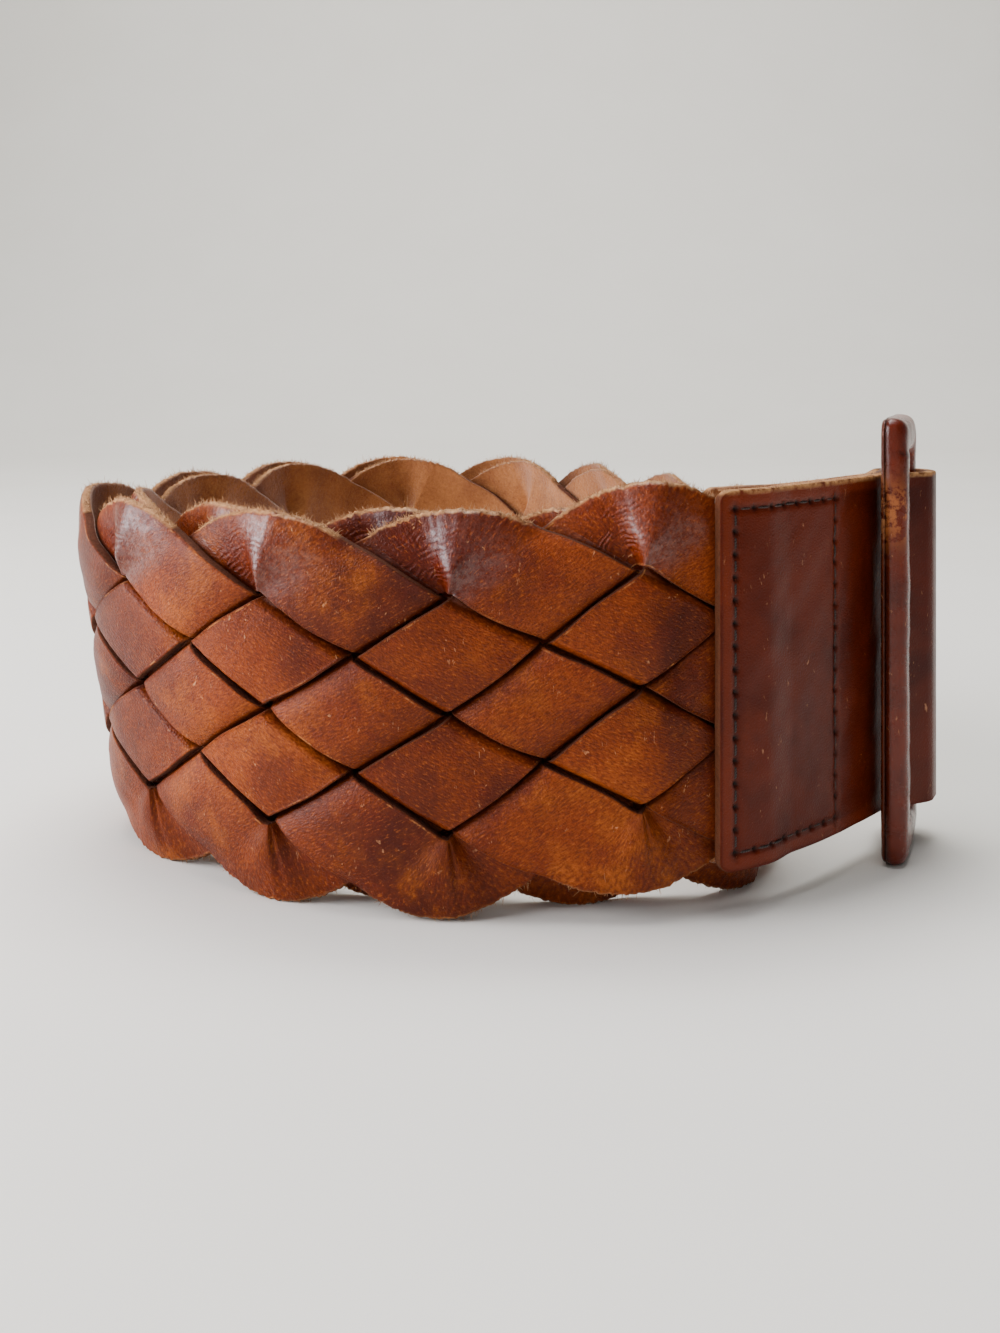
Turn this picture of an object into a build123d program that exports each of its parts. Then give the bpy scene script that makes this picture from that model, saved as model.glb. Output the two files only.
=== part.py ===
"""A wide belt of six flat leather straps, braided and coiled on its edge.

The braid runs from a hidden tail tab, round the coil a little under twice, to a folded
buckle tab.  The tab's loop carries a leather-covered rectangular buckle frame, which
swings on the loop about an upright axis.

Belt coordinates: s is the length along the belt (0 at the buckle tab's braid-side edge,
negative along the braid), v the height above the belt's middle line, and n the distance
out from the belt's middle surface, away from the coil.  Millimetres, +Z up.
"""
import math
import os
from build123d import *
import numpy as np

# ---- braid --------------------------------------------------------------------------------
strap_count = 6
strap_width = 18.0
strap_thickness = 2.2
strap_gap = 0.45          # between two straps where they cross
side_gap = 1.75           # between two straps that run side by side
braid_angle = 31.6        # degrees, between a strap's straight run and the belt
scallop_radius = 31.0     # of the outer rim where a strap folds back
corner_radius = 2.0       # of the inner edge at the same place
edge_margin = 0.10        # a strap starts to dive this far past its neighbour's edge
first_scallop = 14.3      # from the buckle tab's edge to the nearest scallop
skive = 0.5               # thickness left where straps lie inside a tab
skive_length = 6.0
skive_lead = 5.0          # the thinned ends begin this far outside a tab
sewn_depth = 10.0         # how far straps reach into each tab

# ---- coil, in plan: points on the belt's middle surface, from the tail tip to the pivot ------
origin_x = 0.28
origin_y = 341.64
inner_turn = [(46, 302), (44, 326), (37, 350), (22, 381), (2, 404), (-28, 407), (-55, 387),
              (-73, 351), (-82, 329), (-80.5, 317), (-72.5, 302.5), (-54, 284), (-33, 275.5), (0, 273)]
outer_turn = [(22, 272.8), (38, 275), (51, 282.5), (58, 296), (58.5, 312), (54.5, 332),
              (45, 356), (29, 388), (4, 416), (-31, 418), (-59, 397), (-81, 358),
              (-93, 325), (-86, 303), (-74, 290.5), (-55, 276), (-34, 267.5), (-12, 264.2),
              (12, 263.2), (33, 263.2)]
pivot = (93.5, 311.5)
tab_heading = 46.5        # degrees from +X, of the tab's straight run into the loop
flare_angle = 8.0         # the coil leans out at the top, most on its left
flare_start = -5.0
flare_span = 75.0
climb_length = 62.0       # the belt rises to the buckle tab over this length

# ---- buckle tab ---------------------------------------------------------------------------
leaf_thickness = 2.2
tab_reach = 70.0          # from the braid-side edge to the pivot
tab_height = 75.0
tab_lift = 1.0            # the tab's lower edge above the buckle's lower bar
seat_gap = 0.45           # between a leaf and the straps that it holds
leaf_gap = 0.3            # between the two leaves where nothing lies in between
loop_gap = 0.3            # between the loop and the bar that turns in it
loop_mouth = 14.0         # the leaves start to part this far from the pivot
closing_length = 9.0      # the leaves close over this length past the straps' ends
stitch_pitch = 4.5
stitch_columns = 7
stitch_length = 3.6
stitch_width = 0.8
stitch_height = 0.5
stitch_gap = 0.2
stitch_margin = 3.5       # from a tab's edge to the line of stitches

# ---- tail tab -----------------------------------------------------------------------------
tail_length = 60.0
tail_height = 70.0
tail_tip_share = 0.25     # of the tail tab's height, flat at its tip
tail_tip_length = 28.0    # over which the tip rounds up to its full height
tail_stitch_columns = 3
tail_stitch_margin = 8.0  # from the tail tab's long edges to the stitches

# ---- buckle -------------------------------------------------------------------------------
opening_play = 5.4        # the opening is this much taller than the tab that passes it
bar_spacing = 18.8        # between the middles of the two upright bars
bar_width = 8.5
rest_gap = 0.7            # between the near bar and the tab that it is folded back over
cover_thickness = 4.4
lining_thickness = 1.2
lining_inset = 0.4
core_width = 4.6
core_thickness = 2.2
cover_fillet = 2.3
lining_fillet = 0.9
frame_corner = 3.0
opening_corner = 1.2
glue_gap = 0.05

# ---- how finely the surfaces are divided ------------------------------------------------------
plan_step = 0.25
fold_steps = 3
run_steps = 3
across_steps = 3
leaf_steps = 28
loop_steps = 28
tail_steps = 20

# ---- what follows from them -----------------------------------------------------------------
slope = math.radians(braid_angle)
half_pitch = (strap_width + side_gap) / 2 / math.sin(slope)
strap_pitch = 2 * half_pitch
level_spacing = half_pitch * math.tan(slope)
levels = strap_count - 1
apex = level_spacing * strap_count / 2
edge_rise = strap_width / 2 / math.cos(slope)
half_height = apex + edge_rise - scallop_radius * (1 / math.cos(slope) - 1)
skew = strap_width / 2 / math.sin(2 * slope)
fold_reach = skew * math.cos(slope) + corner_radius * math.sin(slope)
plateau = (strap_width / 2 + edge_margin) / (2 * math.sin(slope))
mouth_half = skive * strap_thickness + strap_gap / 2 + seat_gap
climb = bar_width + tab_lift + tab_height / 2 - half_height
stitch_rows = round((tab_height - 2 * stitch_margin) / stitch_pitch)
tail_stitch_rows = round((tail_height - 2 * tail_stitch_margin) / stitch_pitch)
bar_depth = cover_thickness + lining_thickness
bar_reach = math.hypot(bar_width / 2 - lining_fillet, bar_depth / 2 - lining_fillet) + lining_fillet
loop_inner = bar_reach + loop_gap
buckle_height = tab_height + opening_play + 2 * bar_width
near_corner = (bar_spacing - bar_width / 2 + lining_fillet, bar_depth / 2)
rest_height = leaf_gap / 2 + leaf_thickness + rest_gap
buckle_angle = math.degrees(math.asin(rest_height / math.hypot(*near_corner))
                            + math.atan2(near_corner[1], near_corner[0]))


def spline(points, end_heading):
    """A cubic spline through the points, natural at its start, closely sampled."""
    points = np.array(points, float)
    knots = np.concatenate([[0], np.cumsum(np.linalg.norm(np.diff(points, axis=0), axis=1))])
    steps = np.diff(knots)
    count = len(points)
    matrix = np.zeros((count, count))
    right = np.zeros((count, 2))
    matrix[0, 0] = 1
    for i in range(1, count - 1):
        matrix[i, i - 1:i + 2] = steps[i - 1], 2 * (steps[i - 1] + steps[i]), steps[i]
        right[i] = 6 * ((points[i + 1] - points[i]) / steps[i]
                        - (points[i] - points[i - 1]) / steps[i - 1])
    turn = math.radians(end_heading)
    matrix[-1, -2:] = steps[-1], 2 * steps[-1]
    right[-1] = 6 * (np.array([math.cos(turn), math.sin(turn)])
                     - (points[-1] - points[-2]) / steps[-1])
    bend = np.linalg.solve(matrix, right)
    samples = []
    for i in range(count - 1):
        for t in np.arange(0, steps[i], plan_step):
            a = steps[i] - t
            samples.append(bend[i] * a ** 3 / (6 * steps[i]) + bend[i + 1] * t ** 3 / (6 * steps[i])
                           + (points[i] / steps[i] - bend[i] * steps[i] / 6) * a
                           + (points[i + 1] / steps[i] - bend[i + 1] * steps[i] / 6) * t)
    samples.append(points[-1])
    return np.array(samples)


def straight_tab():
    """Two points that hold the tab's run straight behind the pivot."""
    turn = math.radians(tab_heading)
    return [(pivot[0] - d * math.cos(turn), pivot[1] - d * math.sin(turn)) for d in (38.0, 19.0)]


plan_points = inner_turn + outer_turn + straight_tab() + [pivot]
plan_line = spline([(x - origin_x, y - origin_y) for x, y in plan_points], tab_heading)
plan_length = np.concatenate([[0], np.cumsum(np.linalg.norm(np.diff(plan_line, axis=0), axis=1))])
plan_length = plan_length - plan_length[-1] + tab_reach
plan_tangent = np.gradient(plan_line, plan_length, axis=0)
plan_tangent /= np.linalg.norm(plan_tangent, axis=1)[:, None]
tail_tip = float(plan_length[0])
tail_edge = tail_tip + tail_length


def ease(x):
    """0 below 0, 1 above 1, and smooth between."""
    x = min(max(x, 0.0), 1.0)
    return x * x * (3 - 2 * x)


def place(s, v, n):
    """A point of the belt: its place in the part's frame."""
    x, y = (float(np.interp(s, plan_length, plan_line[:, k])) for k in (0, 1))
    tx, ty = (float(np.interp(s, plan_length, plan_tangent[:, k])) for k in (0, 1))
    beyond = max(s - tab_reach, 0.0)
    x, y = x + tx * beyond, y + ty * beyond
    size = math.hypot(tx, ty)
    lean = math.tan(math.radians(flare_angle)) * ease((flare_start - x) / flare_span)
    out = n + lean * v
    middle = half_height + climb * ease(s / climb_length + 1)
    return Vector(x + out * ty / size, y - out * tx / size, middle + v)


def skin(outer, inner):
    """A closed solid of flat triangles between two grids of points, [along][across]."""
    rows, columns = len(outer), len(outer[0])
    faces = []

    def quad(a, b, c, d):
        for corners in ((a, b, c), (a, c, d)):
            p, q, r = corners
            if (q - p).cross(r - p).length > 1e-5:
                faces.append(Face(Wire.make_polygon(corners)))

    for i in range(rows - 1):
        for j in range(columns - 1):
            quad(outer[i][j], outer[i][j + 1], outer[i + 1][j + 1], outer[i + 1][j])
            quad(inner[i][j], inner[i + 1][j], inner[i + 1][j + 1], inner[i][j + 1])
        quad(outer[i][0], outer[i + 1][0], inner[i + 1][0], inner[i][0])
        quad(inner[i][-1], inner[i + 1][-1], outer[i + 1][-1], outer[i][-1])
    for j in range(columns - 1):
        quad(outer[0][j], inner[0][j], inner[0][j + 1], outer[0][j + 1])
        quad(outer[-1][j + 1], inner[-1][j + 1], inner[-1][j], outer[-1][j])
    return Solid(Shell(faces))


def fold_stations(at, side):
    """Cross-lines that fan round the inner corner where a strap folds back at one edge.

    side is 1 at the top edge and -1 at the bottom.  Each is (s and v of the strap's upper
    edge, s and v of its lower edge, and its layer, from 1 outside to -1 inside)."""
    rim_centre = apex + edge_rise - scallop_radius / math.cos(slope)
    corner_centre = apex - edge_rise - corner_radius / math.cos(slope)
    found = []
    for step in range(-fold_steps, fold_steps + 1):
        turn = slope * step / fold_steps
        rim = (at + scallop_radius * math.sin(turn),
               side * (rim_centre + scallop_radius * math.cos(turn)))
        corner = (at + corner_radius * math.sin(turn),
                  side * (corner_centre + corner_radius * math.cos(turn)))
        n = side * math.sin(math.pi / 2 * step / fold_steps)
        found.append((rim, corner, n) if side > 0 else (corner, rim, n))
    return found


def run_stations(at, side):
    """Cross-lines of the straight run that follows the fold at `at`, over and under the rest."""
    across = (skew * math.cos(slope), skew * math.sin(slope))
    found = []
    for level in range(1, levels + 1):
        start = level * half_pitch - plateau
        end = level * half_pitch + plateau
        if level == 1:
            start = fold_reach
        if level == levels:
            end = (levels + 1) * half_pitch - fold_reach
        n = side * (-1) ** (level + 1)
        for part in range(run_steps + 1):
            d = start + (end - start) * part / run_steps
            middle = (at + d, side * (apex - math.tan(slope) * d))
            upper = (middle[0] + side * across[0], middle[1] + across[1])
            lower = (middle[0] - side * across[0], middle[1] - across[1])
            found.append((upper, lower, n))
    return found


def strap(index):
    """One of the six straps, from inside the tail tab to inside the buckle tab."""
    start, end = tail_edge - sewn_depth, sewn_depth
    half_turn = strap_count * half_pitch
    stations = []
    at = -first_scallop + index * strap_pitch
    side = 1
    while at > start - strap_pitch:
        at -= half_turn
        side = -side
    while at < end + strap_pitch:
        stations += fold_stations(at, side) + run_stations(at, side)
        at += half_turn
        side = -side
    lines = []
    for part in range(across_steps + 1):
        share = part / across_steps
        s = np.array([up[0] + (low[0] - up[0]) * share for up, low, n in stations])
        v = np.array([up[1] + (low[1] - up[1]) * share for up, low, n in stations])
        n = np.array([station[2] for station in stations])
        inside = np.clip(s, start, end)
        lines.append((inside, np.interp(inside, s, v), np.interp(inside, s, n)))
    kept = [i for i in range(len(stations))
            if any(start < line[0][i] < end for line in lines)]
    kept = [kept[0] - 1] + kept + [kept[-1] + 1]
    outer, inner = [], []
    for i in kept:
        for grid, half in ((outer, strap_thickness / 2), (inner, -strap_thickness / 2)):
            row = []
            for s, v, n in lines:
                sewn = ease((s[i] + skive_lead) / skive_length + 1)
                sewn += ease((tail_edge + skive_lead - s[i]) / skive_length + 1)
                left = 1 - (1 - skive) * sewn
                offset = n[i] * (strap_thickness * left + strap_gap) / 2
                row.append(place(s[i], v[i], offset + half * left))
            grid.append(row)
    return skin(outer, inner)


def mouth(s):
    """Half the gap between the buckle tab's two leaves."""
    closed = ease((s - sewn_depth - 1) / closing_length)
    return mouth_half + (leaf_gap / 2 - mouth_half) * closed


def tab_face(extra):
    """One face of the folded tab, as (s, n) from its outer end, round the loop and back.

    extra is 0 on the inside of the fold and the leaf's thickness on the outside."""
    radius = loop_inner + extra
    near = leaf_gap / 2 + extra
    far = math.hypot(loop_mouth, near)
    lift = math.asin(radius / far) - math.atan2(near, loop_mouth)
    leaf = [(s, mouth(s) + extra) for s in np.linspace(0, tab_reach - loop_mouth, leaf_steps + 1)]
    loop = []
    for step in range(loop_steps + 1):
        angle = math.pi / 2 + lift - (math.pi + 2 * lift) * step / loop_steps
        loop.append((tab_reach + radius * math.cos(angle), radius * math.sin(angle)))
    return leaf + loop + [(s, -n) for s, n in reversed(leaf)]


def flat_outline(points):
    """Belt coordinates (s, n) laid out in plan."""
    laid = [place(s, 0.0, n) for s, n in points]
    return [(p.X, p.Y) for p in laid]


def buckle_tab():
    """One strip of leather folded round the buckle's far bar, its two leaves sewn together."""
    outline = flat_outline(tab_face(leaf_thickness)) + flat_outline(tab_face(0.0))[::-1]
    face = Face(Wire.make_polygon([(x, y, 0) for x, y in outline]))
    return Pos(0, 0, half_height + climb - tab_height / 2) * extrude(face, tab_height, dir=(0, 0, 1))


def stitch(s, v, face, upright):
    """One stitch, lying on a leaf along or across the belt; face(s) is its height n."""
    size = (stitch_width, stitch_height, stitch_length)
    if not upright:
        size = (stitch_length, stitch_height, stitch_width)
    before, after = place(s - 0.5, v, face(s - 0.5)), place(s + 0.5, v, face(s + 0.5))
    heading = math.degrees(math.atan2(after.Y - before.Y, after.X - before.X))
    return Location(place(s, v, face(s)), (0, 0, heading)) * Box(*size)


def stitch_box(start, columns, rows, half_gap, side):
    """A rectangle of stitches on one face, round the sandwiched straps."""
    top = rows * stitch_pitch / 2

    def face(s):
        return side * (half_gap(s) + leaf_thickness + stitch_gap + stitch_height / 2)

    pieces = []
    for column in range(columns):
        s = start + (column + 0.5) * stitch_pitch
        pieces += [stitch(s, v, face, False) for v in (top, -top)]
    for row in range(rows):
        v = (row + 0.5) * stitch_pitch - top
        for s in (start, start + columns * stitch_pitch):
            pieces.append(stitch(s, v, face, True))
    return Compound(children=pieces)


def tail_half(s):
    """Half the gap between the tail tab's leaves."""
    closed = ease((tail_edge - sewn_depth - 1 - s) / closing_length)
    return mouth_half + (leaf_gap / 2 - mouth_half) * closed


def tail_leaf(side):
    """One leaf of the tail tab, with its tip rounded."""
    outer, inner = [], []
    for s in np.linspace(tail_tip, tail_edge, tail_steps + 1):
        reach = s - tail_tip
        round_off = 1 - max(1 - reach / tail_tip_length, 0.0) ** 2
        top = tail_height / 2 * (tail_tip_share + (1 - tail_tip_share) * math.sqrt(round_off))
        near, far = side * tail_half(s), side * (tail_half(s) + leaf_thickness)
        heights = [top * (1 - k) for k in (0, 0.5, 1, 1.5, 2)]
        outer.append([place(s, v, max(near, far)) for v in heights])
        inner.append([place(s, v, min(near, far)) for v in heights])
    return skin(outer, inner)


def ring(width, height, hole_width, hole_height, corner, hole_corner, thickness):
    """A flat rectangular ring, lying in XY, its back face on z = 0."""
    with BuildPart() as made:
        with BuildSketch():
            RectangleRounded(width, height, corner)
            RectangleRounded(hole_width, hole_height, hole_corner, mode=Mode.SUBTRACT)
        extrude(amount=thickness)
    return made.part


def buckle_pieces():
    """The frame: a stiff core, the leather drawn over its front, and the lining behind."""
    width, height = bar_spacing + bar_width, buckle_height
    hole_width, hole_height = bar_spacing - bar_width, buckle_height - 2 * bar_width
    cover = ring(width, height, hole_width, hole_height, frame_corner, opening_corner,
                 cover_thickness)
    front = cover.edges().filter_by(lambda e: e.center().Z > cover_thickness - 0.01)
    cover = fillet(front, cover_fillet)
    side = (bar_width - core_width) / 2
    core_size = (width - 2 * side, height - 2 * side, hole_width + 2 * side,
                 hole_height + 2 * side, opening_corner + 1, opening_corner + 1)
    core = Pos(0, 0, glue_gap) * ring(*core_size, core_thickness)
    pocket = (core_size[0] + 2 * glue_gap, core_size[1] + 2 * glue_gap,
              core_size[2] - 2 * glue_gap, core_size[3] - 2 * glue_gap, *core_size[4:])
    cover -= ring(*pocket, core_thickness + 2 * glue_gap)
    lining = ring(width - 2 * lining_inset, height - 2 * lining_inset,
                  hole_width + 2 * lining_inset, hole_height + 2 * lining_inset,
                  frame_corner, opening_corner, lining_thickness - glue_gap)
    back = lining.edges().filter_by(lambda e: e.center().Z < 0.01)
    lining = Pos(0, 0, -lining_thickness) * fillet(back, lining_fillet)
    return {"buckle_core": core, "buckle_front_cover": cover, "buckle_back_lining": lining}


def hang_buckle(piece):
    """Stand a frame piece upright, far bar on the pivot, its lining turned to the tab."""
    middle = Pos(bar_spacing / 2, 0, (lining_thickness - cover_thickness) / 2) * piece
    upright = Rot(-90, 0, 0) * middle
    heading = tab_heading + 180 + buckle_angle
    x, y = pivot[0] - origin_x, pivot[1] - origin_y
    return Pos(x, y, buckle_height / 2) * Rot(0, 0, heading) * upright


parts = {f"strap_{number + 1}": strap(number) for number in range(strap_count)}
parts["buckle_tab"] = buckle_tab()
parts["tab_top_thread"] = stitch_box(stitch_margin, stitch_columns, stitch_rows, mouth, 1)
parts["tab_bobbin_thread"] = stitch_box(stitch_margin, stitch_columns, stitch_rows, mouth, -1)
parts["tail_tab_outer"] = tail_leaf(1)
parts["tail_tab_inner"] = tail_leaf(-1)
tail_start = tail_edge - stitch_margin - tail_stitch_columns * stitch_pitch
for name, side in (("tail_top_thread", 1), ("tail_bobbin_thread", -1)):
    parts[name] = stitch_box(tail_start, tail_stitch_columns, tail_stitch_rows, tail_half, side)
for name, piece in buckle_pieces().items():
    parts[name] = hang_buckle(piece)

os.makedirs("parts", exist_ok=True)
for name, shape in parts.items():
    export_step(shape, f"parts/{name}.step")
boxes = [shape.bounding_box() for shape in parts.values()]
low = [min(getattr(box.min, axis) for box in boxes) for axis in "XYZ"]
high = [max(getattr(box.max, axis) for box in boxes) for axis in "XYZ"]
print("belt length", round(tab_reach - tail_tip, 1), "half height", round(half_height, 2))
print("box", [round(value, 2) for value in low], [round(value, 2) for value in high])
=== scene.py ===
# %% [markdown]
# A wide belt braided from six leather straps, coiled on its lower edge, with a leather-covered
# buckle.  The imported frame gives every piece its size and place.  This notebook builds the
# leather that is seen: each strap, the folded tab, its stitches and the covered buckle.

# %% Load the frame
import math
import bpy
import numpy as np
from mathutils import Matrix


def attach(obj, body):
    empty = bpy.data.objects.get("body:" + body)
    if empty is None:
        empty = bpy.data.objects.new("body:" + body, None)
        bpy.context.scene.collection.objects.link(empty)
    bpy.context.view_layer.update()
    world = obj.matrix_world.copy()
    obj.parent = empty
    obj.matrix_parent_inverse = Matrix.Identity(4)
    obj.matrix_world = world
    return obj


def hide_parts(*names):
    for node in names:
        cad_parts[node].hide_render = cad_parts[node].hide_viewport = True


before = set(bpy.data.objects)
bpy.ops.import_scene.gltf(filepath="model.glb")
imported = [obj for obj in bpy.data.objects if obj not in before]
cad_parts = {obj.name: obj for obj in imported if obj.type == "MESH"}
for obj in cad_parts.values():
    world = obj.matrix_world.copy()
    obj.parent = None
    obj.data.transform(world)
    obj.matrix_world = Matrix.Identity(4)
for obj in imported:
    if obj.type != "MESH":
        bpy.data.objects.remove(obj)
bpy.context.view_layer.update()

# %% [markdown]
# The leather follows the sizes of the frame, so they are written here once, in millimetres.
# A braid needs only a few: the strap's width and angle give the pitch, the pitch gives the
# height of the belt, and the tab and the buckle stand on that.

# %% Sizes of the braid
strap_count, strap_width, strap_thickness = 6, 18.0, 2.2
strap_gap, side_gap, seat_gap = 0.45, 1.75, 0.45
slope = math.radians(31.6)
half_pitch = (strap_width + side_gap) / 2 / math.sin(slope)
strap_pitch = 2 * half_pitch
half_turn = strap_count * half_pitch
level_spacing = half_pitch * math.tan(slope)
rim_radius, corner_radius, first_scallop = 31.0, 2.0, 14.3
apex = level_spacing * strap_count / 2
edge_rise = strap_width / 2 / math.cos(slope)
half_height = apex + edge_rise - rim_radius * (1 / math.cos(slope) - 1)
skew = strap_width / 2 / math.sin(2 * slope)
fold_reach = skew * math.cos(slope) + corner_radius * math.sin(slope)
layer = (strap_thickness + strap_gap) / 2
print("strap pitch", round(strap_pitch, 2), "braid height", round(2 * half_height, 1), "mm")

# %% Sizes of the tab and the tail
tab_reach, tab_height, tab_lift, bar_width = 70.0, 75.0, 1.0, 8.5
tail_length, tail_height, tip_length, tip_share = 60.0, 70.0, 28.0, 0.25
leaf_thickness, leaf_gap = 2.2, 0.3
loop_inner, loop_mouth = 5.0513, 14.0
sewn_depth, closing_length, climb_length = 10.0, 9.0, 62.0
mouth_half = strap_thickness / 2 + strap_gap / 2 + seat_gap
climb = bar_width + tab_lift + tab_height / 2 - half_height
stitch_margin, stitch_pitch = 3.5, 4.5
print("the tab's middle lies", round(climb, 2), "mm above the braid's")

# %% [markdown]
# The coiled belt could be a curve that bends flat pieces, but a curve modifier would stretch
# them unevenly.  Instead the belt has its own coordinates: s along it, v up from its middle
# line and n outward.  `place` turns them into the frame's metres along a smooth line through
# the coil, so every piece can be drawn as if the belt lay flat.

# %% The belt's plan line
origin = np.array([0.28, 341.64])
inner_turn = [(46, 302), (44, 326), (37, 350), (22, 381), (2, 404), (-28, 407), (-55, 387),
              (-73, 351), (-82, 329), (-80.5, 317), (-72.5, 302.5), (-54, 284), (-33, 275.5),
              (0, 273)]
outer_turn = [(22, 272.8), (38, 275), (51, 282.5), (58, 296), (58.5, 312), (54.5, 332),
              (45, 356), (29, 388), (4, 416), (-31, 418), (-59, 397), (-81, 358), (-93, 325),
              (-86, 303), (-74, 290.5), (-55, 276), (-34, 267.5), (-12, 264.2), (12, 263.2),
              (33, 263.2)]
pivot = np.array([93.5, 311.5])
tab_heading = math.radians(46.5)
straight_back = (38.0, 19.0)


def ease(x):
    """0 to 1 with a gentle start and end."""
    x = np.clip(x, 0.0, 1.0)
    return x * x * (3 - 2 * x)


def plan_spline(points, end_heading, step=0.25):
    """A line with smooth bends through the points, free at its start and aimed at its end."""
    points = np.array(points, float)
    steps = np.linalg.norm(np.diff(points, axis=0), axis=1)
    count = len(points)
    matrix, right = np.zeros((count, count)), np.zeros((count, 2))
    matrix[0, 0] = 1
    for i in range(1, count - 1):
        matrix[i, i - 1:i + 2] = steps[i - 1], 2 * (steps[i - 1] + steps[i]), steps[i]
        right[i] = 6 * ((points[i + 1] - points[i]) / steps[i]
                        - (points[i] - points[i - 1]) / steps[i - 1])
    matrix[-1, -2:] = steps[-1], 2 * steps[-1]
    heading = np.array([math.cos(end_heading), math.sin(end_heading)])
    right[-1] = 6 * (heading - (points[-1] - points[-2]) / steps[-1])
    bend = np.linalg.solve(matrix, right)
    found = []
    for i in range(count - 1):
        t = np.arange(0, steps[i], step)[:, None]
        a, h = steps[i] - t, steps[i]
        found.append(bend[i] * a ** 3 / (6 * h) + bend[i + 1] * t ** 3 / (6 * h)
                     + (points[i] / h - bend[i] * h / 6) * a
                     + (points[i + 1] / h - bend[i + 1] * h / 6) * t)
    return np.concatenate(found + [points[-1:]])


heading = np.array([math.cos(tab_heading), math.sin(tab_heading)])
line = plan_spline(inner_turn + outer_turn
                   + [tuple(pivot - d * heading) for d in straight_back] + [tuple(pivot)],
                   tab_heading) - origin
length = np.concatenate([[0], np.cumsum(np.linalg.norm(np.diff(line, axis=0), axis=1))])
length += tab_reach - length[-1]
tangent = np.gradient(line, length, axis=0)
tangent /= np.linalg.norm(tangent, axis=1)[:, None]
tail_tip = float(length[0])
tail_edge = tail_tip + tail_length
print("belt length", round(tab_reach - tail_tip, 1), "mm")

# %% Belt coordinates
far_lean, lean_start, lean_length = math.radians(8.0), -5.0, 75.0


def place(s, v, n):
    """Belt coordinates (arrays, mm) to the frame's metres; the far side of the coil leans out."""
    s, v, n = np.broadcast_arrays(*(np.asarray(a, float) for a in (s, v, n)))
    x, y = (np.interp(s, length, line[:, k]) for k in (0, 1))
    tx, ty = (np.interp(s, length, tangent[:, k]) for k in (0, 1))
    beyond = np.maximum(s - tab_reach, 0.0)
    x, y = x + tx * beyond, y + ty * beyond
    size = np.hypot(tx, ty)
    out = n + math.tan(far_lean) * ease((lean_start - x) / lean_length) * v
    middle = half_height + climb * ease(s / climb_length + 1)
    return np.stack([x + out * ty / size, y - out * tx / size, middle + v], -1) * 0.001


print("the tail's tip stands at", place(tail_tip, 0.0, 0.0).round(3))

# %% [markdown]
# A leather piece is a closed sheet: a grid of points whose rows run along the piece and whose
# columns go round its section.  Sculpting could shape it too, but a grid keeps every wrinkle
# where a formula puts it.  `build` makes the mesh, gives each point the values that its
# material paints with, and attaches it to one of the frame's bodies.

# %% Grids and sheets
near_edge = np.array([0.0, 0.1, 0.25, 0.45, 0.75, 1.15, 1.7, 2.4])


def ring_quads(rows, columns, closed=True, wrap=False):
    """Four-sided faces of a grid; closed joins its last column to its first, wrap its rows."""
    i = np.arange(rows if wrap else rows - 1)[:, None]
    j = np.arange(columns if closed else columns - 1)[None, :]
    a, b = i % rows * columns, (i + 1) % rows * columns
    k = (j + 1) % columns
    return np.stack([a + j, a + k, b + k, b + j], -1).reshape(-1, 4)


def sheet_faces(rows, columns, grain_columns, end_slot, side=1):
    """Faces and material slots of a sheet: grain columns first, flesh columns after, two ends."""
    column = np.tile(np.arange(columns), rows - 1)
    slots = (column >= grain_columns) & (column < columns - 1)
    ends = [list(range(columns))[::-1], [(rows - 1) * columns + k for k in range(columns)]]
    faces = [list(face) for face in ring_quads(rows, columns)] + ends
    if side < 0:
        faces = [face[::-1] for face in faces]
    return faces, np.concatenate([slots, [end_slot, end_slot]])


def cut_walls(shape, grain_columns, ends):
    """1 on the points of a sheet's cut sides, and on its ends where asked."""
    wall = np.zeros(shape)
    wall[:, [0, grain_columns - 1, grain_columns, shape[1] - 1]] = 1.0
    if ends:
        wall[[0, -1]] = 1.0
    return wall


def rounded(x, reach, depth):
    """How far a surface has dropped at x from its edge, for a quarter-round edge."""
    left = np.clip(1 - np.asarray(x, float) / reach, 0, 1)
    return depth * (1 - np.sqrt(1 - left ** 2))


def waves(x, seed, spread, count=5):
    """Smooth uneven values about 0, one sum of sines per seed; spread is the longest wave."""
    random = np.random.default_rng(seed)
    found = np.zeros_like(np.asarray(x, float))
    for k in range(count):
        found += np.sin(x * 2 * math.pi / (spread / (k + 1) ** 0.8) + random.uniform(0, 6.28)) \
            * random.uniform(0.5, 1.0) / (k + 1)
    return found / 1.6


print("a 3 by 4 grid has", len(ring_quads(3, 4)), "faces")

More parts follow.
